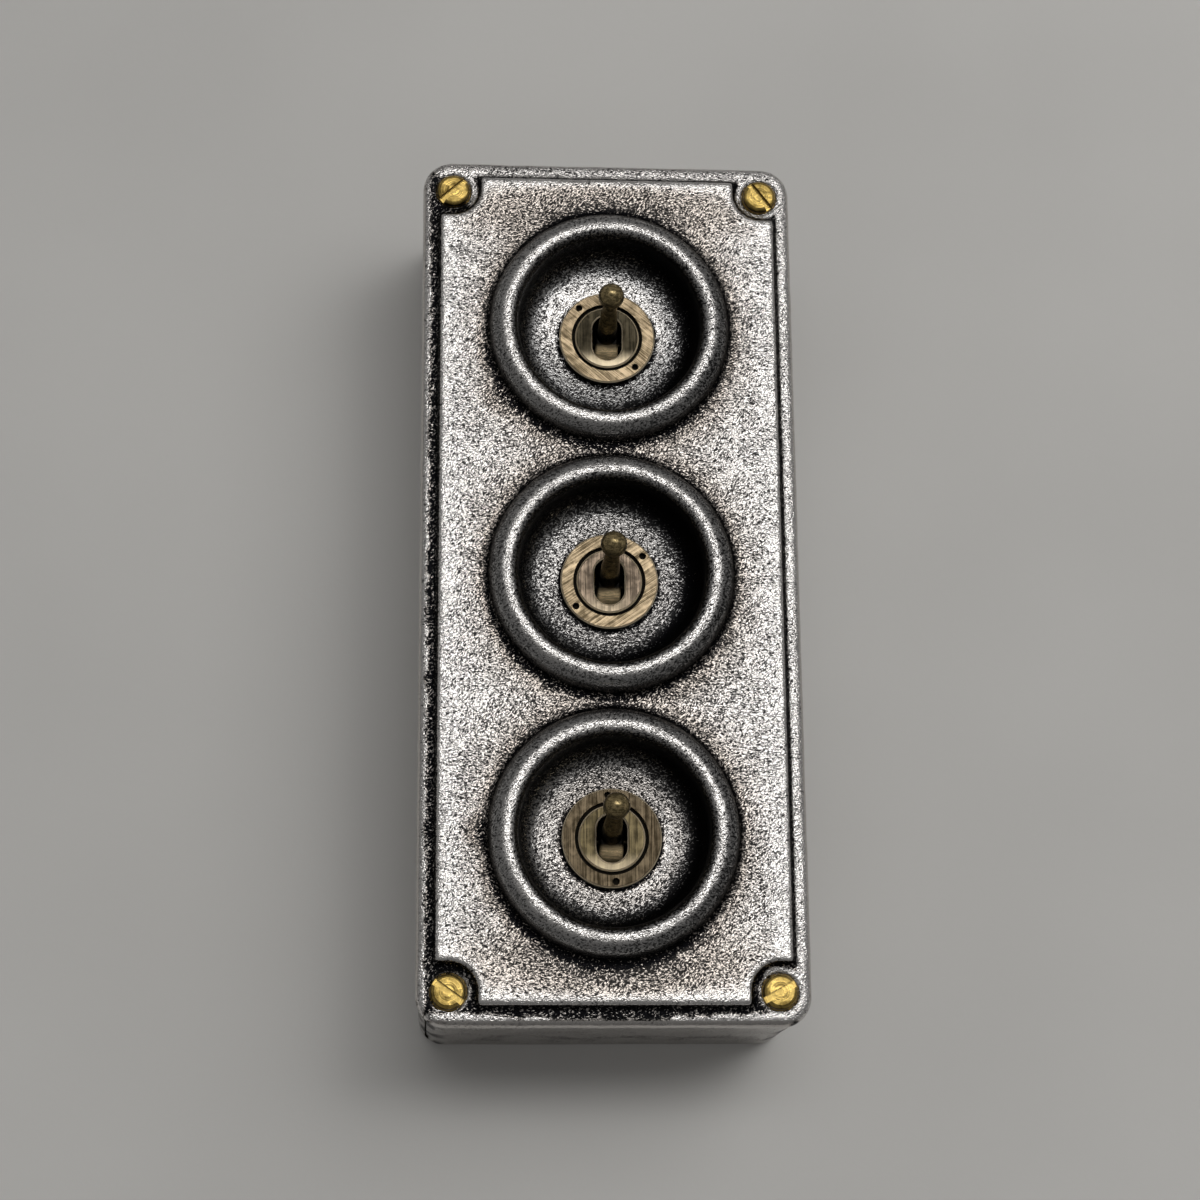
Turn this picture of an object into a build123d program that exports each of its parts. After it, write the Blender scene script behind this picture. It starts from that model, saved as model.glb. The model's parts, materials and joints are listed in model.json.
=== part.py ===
from build123d import *
import os
from math import cos, radians, sin, sqrt, tan

# Toggle light switch with three gangs: a cast cover with three dished wells on a cast back box,
# and in each well a brass toggle switch with a sprung lever, a rocker and three terminals.
#
# Millimetres. +Z runs up the wall, the face looks along -Y, and the origin is the centre of the
# back face, which lies on the wall at y = 0. A "level" is a distance from the wall.

os.makedirs("parts", exist_ok=True)

# Casting: the cover stands a little proud of the box all round, and the box tapers to its back
corner_radius = 7.5
wall = 4.0
cover_depth = 4.0
cover_edge_round = 2.0
parting_round = 0.5
box_step = 0.5
box_draft = 0.6
box_back_round = 1.2
wire_room = 3.2

# Raised panel and the notches round the cover screws
side_border = 4.5
end_border = 5.0
panel_rise = 2.0
panel_edge_round = 0.7
panel_side = 11.6
panel_end = 9.8
screw_inset = 3.4
notch_radius = 7.0

# Wells with beaded rims, steep from the crest into the well and flatter outside
gang_pitch = 65.8
bead_crest_radius = 26.0
bead_inside = 2.6
bead_outside = 4.7
bead_rise = 5.7
bead_round = 3.4
bead_foot = 1.2
well_depth = 8.8
well_floor = 3.2
well_fillet = 7.0
cup_wall = 3.5

# Cover screws, slotted, with the turn of each slot as left by the screwdriver
screw_radius = 2.5
screw_reach = 12.0
screw_head_radius = 4.3
screw_head_height = 2.4
screw_head_round = 1.1
screw_slot_width = 1.7
screw_slot_depth = 1.3
screw_seat_gap = 0.25
screw_seat_depth = 1.4
post_margin = 0.7
slot_turns = {(-1, 1): 42.0, (1, 1): -53.0, (-1, -1): -36.0, (1, -1): 29.0}

# Back box: holes for wall screws, a cable entry and an earth terminal
fixing_radius = 2.6
fixing_spacing_x = 56.0
fixing_spacing_z = 160.0
entry_radius = 10.25
earth_across = 28.0
earth_boss_radius = 5.0
earth_boss_height = 5.0
earth_screw_radius = 2.0
earth_screw_length = 7.0
earth_head_radius = 3.8
earth_head_height = 2.4
earth_head_round = 0.5
earth_slot_width = 1.0
earth_slot_depth = 1.1
earth_washer_radius = 4.6
earth_washer_thickness = 0.8

# Clearances
thread_gap = 0.05
running_gap = 0.05
seat_gap = 0.1
hole_gap = 0.25

# Dress ring, a nut with two spanner holes, and where its holes came to rest in each gang
ring_radius = 12.4
ring_thickness = 2.2
ring_chamfer = 0.35
ring_groove_width = 0.9
ring_groove_depth = 1.2
spanner_radius = 0.9
spanner_depth = 1.4
gangs = {"top": (gang_pitch, 132.0), "middle": (0.0, 38.0), "bottom": (-gang_pitch, 95.0)}

# Bush with a slotted face, and the nut and washer that clamp it from behind
thread_radius = 8.3
bush_wall = 1.55
bush_cap = 0.9
bush_chamfer = 0.4
lever_slot_width = 7.7
lever_slot_length = 12.2
lever_slot_chamfer = 0.4
bush_flange_ledge = 1.1
bush_flange_thickness = 1.2
washer_radius = 11.0
washer_thickness = 0.7
washer_teeth = 12
washer_tooth_gap = 1.4
washer_tooth_depth = 1.1
nut_across_flats = 22.0
nut_thickness = 2.6
spare_thread = 0.7

# Lever: ball, tapered shank, round hub on the pivot pin, and a bored tail
pivot_depth = 6.4
lever_lean = 12.5
ball_radius = 3.3
ball_reach = 22.9
neck_radius = 1.65
shank_radius = 2.75
hub_radius = 5.4
hub_width = 6.0
hub_round = 0.8
pin_radius = 1.0
pin_recess = 0.1
tail_wall = 1.05
tail_length = 12.4
tail_bore_end = 4.6

# Plunger and spring in the tail
plunger_radius = 1.6
plunger_reach = 15.6
plunger_length = 6.2
spring_wire_radius = 0.2
spring_radius = 1.2
spring_turns = 5
spring_gap = 0.02

# Rocker: a strip with a trough that follows the plunger, two wings with contacts, two trunnions
rocker_ratio = 0.8
rocker_width = 5.5
rocker_thickness = 0.9
trough_gap = 0.2
trough_web = 0.3
trough_lip = 1.46
contact_reach = 8.2
contact_radius = 1.1
contact_height = 0.6
contact_gap = 0.1
wing_edge = 0.3
trunnion_radius = 0.9
trunnion_overhang = 0.25

# Moulded switch body and the folded steel frame that closes it
body_side_wall = 3.5
body_end_wall = 3.5
body_base = 3.5
body_corner = 1.5
side_room = 1.7
wing_room = 2.9
rocker_room = 3.1
barrier_thickness = 1.4
barrier_depth = 7.8
frame_thickness = 1.0
frame_leg_width = 9.0
frame_leg_length = 12.3
frame_hook = 1.0

# Terminals: a fork for the rocker, two contact pads, and a screw clamp behind each
fork_thickness = 1.0
fork_gap = 0.3
fork_length = 3.6
fork_rise = 1.6
pad_width = 4.4
pad_length = 3.8
stem_width = 3.0
stem_thickness = 1.0
stem_shift = 0.7
clamp_pitch = 9.5
clamp_width = 7.0
clamp_length = 6.0
clamp_depth = 7.0
wire_hole_radius = 1.6
wire_hole_depth = 3.5
clamp_screw_radius = 1.5
clamp_screw_length = 2.4
clamp_head_radius = 2.4
clamp_head_height = 1.6
clamp_slot_width = 0.7
clamp_slot_depth = 0.8

# Outline of the casting, from the wells outwards
well_radius = bead_crest_radius - bead_inside
bead_outer = bead_crest_radius + bead_outside
panel_half_x = bead_outer + bead_foot + panel_side
panel_half_z = gang_pitch + bead_outer + bead_foot + panel_end
width = 2 * (panel_half_x + side_border)
height = 2 * (panel_half_z + end_border)
inner_corner = max(corner_radius - wall, 1.0)
screw_x = panel_half_x - screw_inset
screw_z = panel_half_z - screw_inset
screw_seat_radius = screw_head_radius + screw_seat_gap

# Plunger's path as the rocker sees it: an arc, so the trough is an arc round it
lean = radians(lever_lean)
tilt = radians(rocker_ratio * lever_lean)
trough_bottom = trunnion_radius + trough_web
path_middle = trough_bottom + trough_gap + plunger_radius
rocker_drop = plunger_reach + path_middle
tip_across = plunger_reach * sin(lean)
tip_above = rocker_drop - plunger_reach * cos(lean)
path_across = tip_across * cos(tilt) - tip_above * sin(tilt)
path_rise = tip_across * sin(tilt) + tip_above * cos(tilt) - path_middle
path_radius = (path_across**2 + path_rise**2) / (2 * path_rise)
trough_radius = path_radius + plunger_radius + trough_gap
trough_half = path_across + trough_lip
wing_top = trough_bottom + trough_radius - sqrt(trough_radius**2 - trough_half**2)
wing_bottom = wing_top - rocker_thickness
wing_reach = contact_reach + contact_radius + wing_edge
under_radius = trough_radius + rocker_thickness
under_half = sqrt(under_radius**2 - (trough_bottom + trough_radius - wing_bottom) ** 2)
contact_bottom = wing_bottom - contact_height
contact_drop = (contact_reach + contact_radius) * sin(tilt) - contact_bottom * cos(tilt)
pad_centre = contact_reach * cos(tilt) + contact_bottom * sin(tilt)
stem_centre = pad_centre + stem_shift

# Stack of pieces behind the floor of a well, which sets the depth of the box
pivot_back = pivot_depth - ring_thickness - well_floor
body_reach = pivot_back + rocker_drop + rocker_room + body_base
switch_reach = body_reach + clamp_depth + clamp_head_height
floor_above_box = cover_depth + panel_rise - well_depth - well_floor
box_depth = wall + wire_room + switch_reach - floor_above_box
box_back_inset = box_step + box_depth * tan(radians(box_draft))
post_radius = width / 2 - box_back_inset - screw_x - post_margin

# Levels
cover_front = box_depth + cover_depth
panel_front = cover_front + panel_rise
bead_front = panel_front + bead_rise
bead_level = bead_front - bead_round
foot_level = panel_front + bead_foot
floor_front = panel_front - well_depth
floor_back = floor_front - well_floor
screw_seat = cover_front - screw_seat_depth
earth_seat = wall + earth_boss_height
bush_face = floor_front + ring_thickness
ring_floor = bush_face - ring_groove_depth
pivot_level = bush_face - pivot_depth
nut_front = floor_back - washer_thickness
nut_back = nut_front - nut_thickness
flange_front = nut_back - spare_thread
frame_front = flange_front - bush_flange_thickness
body_front = frame_front - frame_thickness
body_back = floor_back - body_reach
hook_level = body_front - frame_leg_length
cavity_floor = body_back + body_base
rocker_level = pivot_level - rocker_drop
pad_level = rocker_level - contact_drop - contact_gap
clamp_back = body_back - clamp_depth
wire_level = body_back - wire_hole_depth

# Radii and half-widths that follow from these
thread_hole_radius = thread_radius + thread_gap
bush_hole_radius = thread_radius + seat_gap
bush_bore_radius = thread_radius - bush_wall
bush_flange_radius = thread_radius + bush_flange_ledge
ring_groove_radius = thread_radius + ring_groove_width
spanner_circle_radius = (ring_groove_radius + ring_radius) / 2
tail_bore_radius = plunger_radius + running_gap
tail_radius = tail_bore_radius + tail_wall
fork_inner = rocker_width / 2 + fork_gap
fork_outer = fork_inner + fork_thickness
cavity_width = 2 * (fork_outer + trunnion_overhang + side_room)
cavity_length = 2 * (wing_reach + wing_room)
body_width = cavity_width + 2 * body_side_wall
body_length = cavity_length + 2 * body_end_wall
frame_half = body_length / 2 + seat_gap + frame_thickness
hook_reach = seat_gap + frame_thickness + frame_hook
print(f"width {width:.2f}, height {height:.2f}, depth to the cover's face {cover_front:.2f}")
print(f"pivots at {pivot_level:.3f} and {rocker_level:.3f} from the wall")


# Plane parallel to the wall, looking into the room
def facing(level, centre=0.0):
    return Plane(origin=(0, -level, centre), x_dir=(1, 0, 0), z_dir=(0, -1, 0))


# Half-profile plane of a turned piece: x is the radius and y the level
def turning(centre):
    return Plane(origin=(0, 0, centre), x_dir=(1, 0, 0), z_dir=(0, 0, -1))


# Plane square to the pivot pins: x runs up the wall and y into the room
def crossing(level, centre):
    return Plane(origin=(0, -level, centre), x_dir=(0, 0, 1), z_dir=(1, 0, 0))


with BuildPart() as back_box:
    for level, inset in ((0, box_back_inset), (box_depth, box_step)):
        with BuildSketch(facing(level)):
            RectangleRounded(width - 2 * inset, height - 2 * inset, corner_radius - inset)
    loft()
    fillet(back_box.faces().sort_by(Axis.Y)[-1].edges(), box_back_round)
    fillet(back_box.faces().sort_by(Axis.Y)[0].edges(), parting_round)
    with BuildSketch(facing(wall)):
        RectangleRounded(width - 2 * wall, height - 2 * wall, inner_corner)
    extrude(amount=box_depth - wall, mode=Mode.SUBTRACT)
    with BuildSketch(facing(0)):
        with GridLocations(2 * screw_x, 2 * screw_z, 2, 2):
            Circle(post_radius)
    extrude(amount=box_depth)
    with BuildSketch(facing(wall)):
        with Locations((earth_across, -gang_pitch / 2)):
            Circle(earth_boss_radius)
    extrude(amount=earth_boss_height)
    with BuildSketch(facing(box_depth)):
        with GridLocations(2 * screw_x, 2 * screw_z, 2, 2):
            Circle(screw_radius + thread_gap)
    extrude(amount=-screw_reach - wall, mode=Mode.SUBTRACT)
    with BuildSketch(facing(wall + earth_boss_height)):
        with Locations((earth_across, -gang_pitch / 2)):
            Circle(earth_screw_radius + thread_gap)
    extrude(amount=-earth_screw_length, mode=Mode.SUBTRACT)
    with BuildSketch(facing(0)):
        with GridLocations(fixing_spacing_x, fixing_spacing_z, 2, 2):
            Circle(fixing_radius)
        with Locations((0, gang_pitch / 2)):
            Circle(entry_radius)
    extrude(amount=wall, mode=Mode.SUBTRACT)

back_box.part.label = "back_box"
export_step(back_box.part, "parts/back_box.step")


with BuildPart() as cover_plate:
    with BuildSketch(facing(box_depth)):
        RectangleRounded(width, height, corner_radius)
    extrude(amount=cover_depth)
    fillet(cover_plate.faces().sort_by(Axis.Y)[0].edges(), cover_edge_round)
    fillet(cover_plate.faces().sort_by(Axis.Y)[-1].edges(), parting_round)
    # Hollow back, with a boss for each screw and a cup behind each well
    with BuildSketch(facing(box_depth)):
        RectangleRounded(width - 2 * wall, height - 2 * wall, inner_corner)
    extrude(amount=panel_front - wall - box_depth, mode=Mode.SUBTRACT)
    with BuildSketch(facing(box_depth)):
        with GridLocations(2 * screw_x, 2 * screw_z, 2, 2):
            Circle(post_radius)
    extrude(amount=panel_front - wall - box_depth)
    with BuildSketch(facing(floor_back)):
        with GridLocations(0, gang_pitch, 1, 3):
            Circle(well_radius + cup_wall)
    extrude(amount=panel_front - wall - floor_back)
    # Raised panel, cut back round each screw in a quarter round with straight ends
    with BuildSketch(facing(cover_front)):
        Rectangle(2 * panel_half_x, 2 * panel_half_z)
        with GridLocations(2 * screw_x, 2 * screw_z, 2, 2):
            Circle(notch_radius, mode=Mode.SUBTRACT)
        for side, end in slot_turns:
            near_x = side * (screw_x - notch_radius)
            near_z = end * (screw_z - notch_radius)
            for from_x, from_z in ((near_x, end * screw_z), (side * screw_x, near_z)):
                to_x = side * width / 2
                to_z = end * height / 2
                with Locations(((from_x + to_x) / 2, (from_z + to_z) / 2)):
                    Rectangle(abs(to_x - from_x), abs(to_z - from_z), mode=Mode.SUBTRACT)
    extrude(amount=panel_rise)
    fillet(cover_plate.faces().sort_by(Axis.Y)[0].outer_wire().edges(), panel_edge_round)
    # Beaded rims, each with a hollow foot, then the wells inside them
    for centre, _ in gangs.values():
        foot_mid = bead_foot * (1 - sqrt(0.5))
        with BuildSketch(turning(centre)):
            with BuildLine():
                Line((well_radius, cover_front), (well_radius, bead_level))
                EllipticalCenterArc((bead_crest_radius, bead_level), bead_inside, bead_round, start_angle=90)
                EllipticalCenterArc((bead_crest_radius, foot_level), bead_outside, bead_front - foot_level)
                ThreePointArc(
                    (bead_outer, foot_level),
                    (bead_outer + foot_mid, panel_front + foot_mid),
                    (bead_outer + bead_foot, panel_front),
                )
                Polyline(
                    (bead_outer + bead_foot, panel_front),
                    (bead_outer + bead_foot, cover_front),
                    (well_radius, cover_front),
                )
            make_face()
        revolve(axis=Axis((0, 0, centre), (0, -1, 0)))
        fillet_mid = well_fillet * (1 - sqrt(0.5))
        with BuildSketch(turning(centre)):
            with BuildLine():
                Polyline(
                    (well_radius, floor_front + well_fillet),
                    (well_radius, bead_front),
                    (0, bead_front),
                    (0, floor_front),
                    (well_radius - well_fillet, floor_front),
                )
                ThreePointArc(
                    (well_radius - well_fillet, floor_front),
                    (well_radius - fillet_mid, floor_front + fillet_mid),
                    (well_radius, floor_front + well_fillet),
                )
            make_face()
        revolve(axis=Axis((0, 0, centre), (0, -1, 0)), mode=Mode.SUBTRACT)
    with BuildSketch(facing(floor_front)):
        with GridLocations(0, gang_pitch, 1, 3):
            Circle(bush_hole_radius)
    extrude(amount=-well_floor, mode=Mode.SUBTRACT)
    with BuildSketch(facing(cover_front)):
        with GridLocations(2 * screw_x, 2 * screw_z, 2, 2):
            Circle(screw_seat_radius)
    extrude(amount=-screw_seat_depth, mode=Mode.SUBTRACT)
    with BuildSketch(facing(screw_seat)):
        with GridLocations(2 * screw_x, 2 * screw_z, 2, 2):
            Circle(screw_radius + hole_gap)
    extrude(amount=box_depth - screw_seat, mode=Mode.SUBTRACT)

cover_plate.part.label = "cover_plate"
export_step(cover_plate.part, "parts/cover_plate.step")


with BuildPart() as cover_screws:
    with BuildSketch(facing(screw_seat)):
        with GridLocations(2 * screw_x, 2 * screw_z, 2, 2):
            Circle(screw_head_radius)
    extrude(amount=screw_head_height)
    fillet(cover_screws.edges().group_by(Axis.Y)[0], screw_head_round)
    with BuildSketch(facing(screw_seat)):
        with GridLocations(2 * screw_x, 2 * screw_z, 2, 2):
            Circle(screw_radius)
    extrude(amount=box_depth - screw_reach - screw_seat)
    with BuildSketch(facing(screw_seat + screw_head_height)):
        for (side, end), turn in slot_turns.items():
            with Locations((side * screw_x, end * screw_z)):
                Rectangle(3 * screw_head_radius, screw_slot_width, rotation=turn)
    extrude(amount=-screw_slot_depth, mode=Mode.SUBTRACT)

cover_screws.part.label = "cover_screws"
export_step(cover_screws.part, "parts/cover_screws.step")


with BuildPart() as earth_washer:
    with BuildSketch(facing(earth_seat)):
        with Locations((earth_across, -gang_pitch / 2)):
            Circle(earth_washer_radius)
            Circle(earth_screw_radius + hole_gap, mode=Mode.SUBTRACT)
    extrude(amount=earth_washer_thickness)

earth_washer.part.label = "earth_washer"
export_step(earth_washer.part, "parts/earth_washer.step")

with BuildPart() as earth_screw:
    with BuildSketch(facing(earth_seat + earth_washer_thickness)):
        with Locations((earth_across, -gang_pitch / 2)):
            Circle(earth_head_radius)
    extrude(amount=earth_head_height)
    fillet(earth_screw.edges().group_by(Axis.Y)[0], earth_head_round)
    with BuildSketch(facing(earth_seat + earth_washer_thickness)):
        with Locations((earth_across, -gang_pitch / 2)):
            Circle(earth_screw_radius)
    extrude(amount=-earth_screw_length)
    with BuildSketch(facing(earth_seat + earth_washer_thickness + earth_head_height)):
        with Locations((earth_across, -gang_pitch / 2)):
            Rectangle(3 * earth_head_radius, earth_slot_width)
    extrude(amount=-earth_slot_depth, mode=Mode.SUBTRACT)

earth_screw.part.label = "earth_screw"
export_step(earth_screw.part, "parts/earth_screw.step")


for gang, (centre, spanner_turn) in gangs.items():
    gang_axis = Axis((0, 0, centre), (0, -1, 0))
    pivot = Vector(0, -pivot_level, centre)
    lever_way = Vector(0, -cos(lean), sin(lean))
    lever_plane = Plane(origin=pivot, x_dir=(1, 0, 0), z_dir=(0, -sin(lean), -cos(lean)))
    lever_axis = Axis(pivot, lever_way)
    rocker_pivot = Vector(0, -rocker_level, centre)
    rocker_plane = Plane(origin=rocker_pivot, x_dir=(0, -sin(tilt), cos(tilt)), z_dir=(1, 0, 0))
    rocker_face = Plane(origin=rocker_pivot, x_dir=(1, 0, 0), z_dir=(0, -cos(tilt), -sin(tilt)))

    with BuildPart() as dress_ring:
        with BuildSketch(turning(centre)):
            with BuildLine():
                Polyline(
                    (thread_hole_radius, floor_front),
                    (ring_radius, floor_front),
                    (ring_radius, bush_face - ring_chamfer),
                    (ring_radius - ring_chamfer, bush_face),
                    (ring_groove_radius, bush_face),
                    (ring_groove_radius, ring_floor),
                    (thread_hole_radius, ring_floor),
                    close=True,
                )
            make_face()
        revolve(axis=gang_axis)
        with BuildSketch(facing(bush_face, centre)):
            with PolarLocations(spanner_circle_radius, 2, start_angle=spanner_turn):
                Circle(spanner_radius)
        extrude(amount=-spanner_depth, mode=Mode.SUBTRACT)

    dress_ring.part.label = f"dress_ring_{gang}"
    export_step(dress_ring.part, f"parts/dress_ring_{gang}.step")

    with BuildPart() as lock_washer:
        with BuildSketch(facing(floor_back, centre)):
            Circle(washer_radius)
            Circle(bush_hole_radius, mode=Mode.SUBTRACT)
            with PolarLocations(washer_radius, washer_teeth):
                Rectangle(2 * washer_tooth_depth, washer_tooth_gap, mode=Mode.SUBTRACT)
        extrude(amount=-washer_thickness)

    lock_washer.part.label = f"lock_washer_{gang}"
    export_step(lock_washer.part, f"parts/lock_washer_{gang}.step")

    with BuildPart() as back_nut:
        with BuildSketch(facing(nut_front, centre)):
            RegularPolygon(nut_across_flats / 2, 6, major_radius=False)
            Circle(thread_hole_radius, mode=Mode.SUBTRACT)
        extrude(amount=-nut_thickness)

    back_nut.part.label = f"back_nut_{gang}"
    export_step(back_nut.part, f"parts/back_nut_{gang}.step")

    with BuildPart() as bush:
        with BuildSketch(turning(centre)):
            with BuildLine():
                Polyline(
                    (0, bush_face),
                    (thread_radius - bush_chamfer, bush_face),
                    (thread_radius, bush_face - bush_chamfer),
                    (thread_radius, flange_front),
                    (bush_flange_radius, flange_front),
                    (bush_flange_radius, frame_front),
                    (bush_bore_radius, frame_front),
                    (bush_bore_radius, bush_face - bush_cap),
                    (0, bush_face - bush_cap),
                    close=True,
                )
            make_face()
        revolve(axis=gang_axis)
        with BuildSketch(facing(bush_face, centre)):
            SlotOverall(lever_slot_length, lever_slot_width, rotation=90)
        extrude(amount=-bush_cap, mode=Mode.SUBTRACT)
        chamfer(bush.faces().sort_by(Axis.Y)[0].inner_wires().edges(), lever_slot_chamfer)
        with BuildSketch(crossing(pivot_level, centre)):
            Circle(pin_radius)
        extrude(amount=thread_radius, both=True, mode=Mode.SUBTRACT)

    bush.part.label = f"bush_{gang}"
    export_step(bush.part, f"parts/bush_{gang}.step")

    with BuildPart() as pivot_pin:
        with BuildSketch(crossing(pivot_level, centre)):
            Circle(pin_radius)
        extrude(amount=thread_radius - pin_recess, both=True)

    pivot_pin.part.label = f"pivot_pin_{gang}"
    export_step(pivot_pin.part, f"parts/pivot_pin_{gang}.step")

    with BuildPart() as lever:
        with BuildSketch(crossing(pivot_level, centre)):
            Circle(hub_radius)
        extrude(amount=hub_width / 2, both=True)
        fillet(lever.edges(), hub_round)
        neck_reach = ball_reach - sqrt(ball_radius**2 - neck_radius**2)
        with BuildSketch(lever_plane):
            with BuildLine():
                Polyline(
                    (0, ball_reach + ball_radius),
                    (0, -tail_length),
                    (tail_radius, -tail_length),
                    (tail_radius, 0),
                    (shank_radius, 0),
                    (shank_radius, hub_radius),
                    (neck_radius, neck_reach),
                )
                ThreePointArc(
                    (neck_radius, neck_reach),
                    (ball_radius, ball_reach),
                    (0, ball_reach + ball_radius),
                )
            make_face()
        revolve(axis=lever_axis)
        with BuildSketch(lever_plane):
            with BuildLine():
                Polyline(
                    (0, -tail_bore_end),
                    (tail_bore_radius, -tail_bore_end),
                    (tail_bore_radius, -tail_length),
                    (0, -tail_length),
                    close=True,
                )
            make_face()
        revolve(axis=lever_axis, mode=Mode.SUBTRACT)
        with BuildSketch(crossing(pivot_level, centre)):
            Circle(pin_radius + running_gap)
        extrude(amount=hub_width, both=True, mode=Mode.SUBTRACT)

    lever.part.label = f"lever_{gang}"
    export_step(lever.part, f"parts/lever_{gang}.step")

    with BuildPart() as plunger:
        plunger_end = plunger_length - plunger_reach
        tip_slant = plunger_radius * sqrt(0.5)
        with BuildSketch(lever_plane):
            with BuildLine():
                ThreePointArc(
                    (0, -plunger_reach - plunger_radius),
                    (tip_slant, -plunger_reach - tip_slant),
                    (plunger_radius, -plunger_reach),
                )
                Polyline(
                    (plunger_radius, -plunger_reach),
                    (plunger_radius, plunger_end),
                    (0, plunger_end),
                    (0, -plunger_reach - plunger_radius),
                )
            make_face()
        revolve(axis=lever_axis)

    plunger.part.label = f"plunger_{gang}"
    export_step(plunger.part, f"parts/plunger_{gang}.step")

    with BuildPart() as lever_spring:
        spring_start = spring_wire_radius + spring_gap - plunger_reach + plunger_length
        spring_height = -tail_bore_end - spring_wire_radius - spring_gap - spring_start
        with BuildLine() as coil:
            Helix(
                pitch=spring_height / spring_turns,
                height=spring_height,
                radius=spring_radius,
                center=pivot + lever_way * spring_start,
                direction=lever_way,
            )
        with BuildSketch(Plane(origin=coil.line @ 0, z_dir=coil.line % 0)):
            Circle(spring_wire_radius)
        sweep()

    lever_spring.part.label = f"lever_spring_{gang}"
    export_step(lever_spring.part, f"parts/lever_spring_{gang}.step")

    with BuildPart() as rocker:
        with BuildSketch(rocker_plane):
            with BuildLine():
                ThreePointArc((-trough_half, wing_top), (0, trough_bottom), (trough_half, wing_top))
                Polyline(
                    (trough_half, wing_top),
                    (wing_reach, wing_top),
                    (wing_reach, wing_bottom),
                    (under_half, wing_bottom),
                )
                ThreePointArc(
                    (under_half, wing_bottom),
                    (0, trough_bottom - rocker_thickness),
                    (-under_half, wing_bottom),
                )
                Polyline(
                    (-under_half, wing_bottom),
                    (-wing_reach, wing_bottom),
                    (-wing_reach, wing_top),
                    (-trough_half, wing_top),
                )
            make_face()
        extrude(amount=rocker_width / 2, both=True)
        with BuildSketch(rocker_face.offset(contact_bottom)):
            with GridLocations(0, 2 * contact_reach, 1, 2):
                Circle(contact_radius)
        extrude(amount=contact_height)
        with BuildSketch(rocker_plane):
            Circle(trunnion_radius)
        extrude(amount=fork_outer + trunnion_overhang, both=True)

    rocker.part.label = f"rocker_{gang}"
    export_step(rocker.part, f"parts/rocker_{gang}.step")

    with BuildPart() as switch_frame:
        with BuildSketch(facing(body_front, centre)):
            Rectangle(body_width, 2 * frame_half)
        extrude(amount=frame_thickness)
        for end in (-1, 1):
            with BuildSketch(facing(frame_front, centre)):
                with Locations((0, end * (frame_half - frame_thickness / 2))):
                    Rectangle(frame_leg_width, frame_thickness)
            extrude(amount=-frame_leg_length - frame_thickness)
            with BuildSketch(facing(hook_level, centre)):
                with Locations((0, end * (frame_half - hook_reach / 2))):
                    Rectangle(frame_leg_width, hook_reach)
            extrude(amount=frame_thickness)
        with BuildSketch(facing(body_front, centre)):
            Circle(bush_bore_radius)
        extrude(amount=frame_thickness, mode=Mode.SUBTRACT)

    switch_frame.part.label = f"switch_frame_{gang}"
    export_step(switch_frame.part, f"parts/switch_frame_{gang}.step")

    with BuildPart() as switch_body:
        with BuildSketch(facing(body_back, centre)):
            RectangleRounded(body_width, body_length, body_corner)
        extrude(amount=body_front - body_back)
        with BuildSketch(facing(cavity_floor, centre)):
            Rectangle(cavity_width, cavity_length)
        extrude(amount=body_front - cavity_floor, mode=Mode.SUBTRACT)
        with BuildSketch(facing(body_back, centre)):
            with GridLocations(0, clamp_pitch, 1, 2):
                Rectangle(body_width, barrier_thickness)
        extrude(amount=-barrier_depth)
        with BuildSketch(facing(hook_level - seat_gap, centre)):
            with GridLocations(0, body_length, 1, 2):
                Rectangle(frame_leg_width + 2 * seat_gap, 2 * (frame_hook + seat_gap))
        extrude(amount=frame_thickness + 2 * seat_gap, mode=Mode.SUBTRACT)
        with BuildSketch(facing(body_back, centre)):
            with Locations((0, 0), (0, stem_centre), (0, -stem_centre)):
                Rectangle(stem_width + 2 * seat_gap, stem_thickness + 2 * seat_gap)
        extrude(amount=body_base, mode=Mode.SUBTRACT)

    switch_body.part.label = f"switch_body_{gang}"
    export_step(switch_body.part, f"parts/switch_body_{gang}.step")

    with BuildPart() as common_terminal:
        with BuildSketch(facing(cavity_floor, centre)):
            Rectangle(2 * fork_outer, fork_length)
        extrude(amount=rocker_level + fork_rise - cavity_floor)
        with BuildSketch(facing(cavity_floor + fork_thickness, centre)):
            Rectangle(2 * fork_inner, fork_length)
        extrude(amount=rocker_drop, mode=Mode.SUBTRACT)
        notch_half = trunnion_radius + running_gap
        with BuildSketch(crossing(rocker_level, centre)):
            Circle(notch_half)
            with Locations((0, fork_rise / 2)):
                Rectangle(2 * notch_half, fork_rise)
        extrude(amount=fork_outer, both=True, mode=Mode.SUBTRACT)
        with BuildSketch(facing(cavity_floor, centre)):
            Rectangle(stem_width, stem_thickness)
        extrude(amount=-body_base)
        with BuildSketch(facing(body_back, centre)):
            Rectangle(clamp_width, clamp_length)
        extrude(amount=-clamp_depth)
        with BuildSketch(crossing(wire_level, centre)):
            Circle(wire_hole_radius)
        extrude(amount=clamp_width, both=True, mode=Mode.SUBTRACT)
        with BuildSketch(facing(clamp_back, centre)):
            Circle(clamp_screw_radius + thread_gap)
        extrude(amount=clamp_depth - wire_hole_depth, mode=Mode.SUBTRACT)

    common_terminal.part.label = f"common_terminal_{gang}"
    export_step(common_terminal.part, f"parts/common_terminal_{gang}.step")

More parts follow.
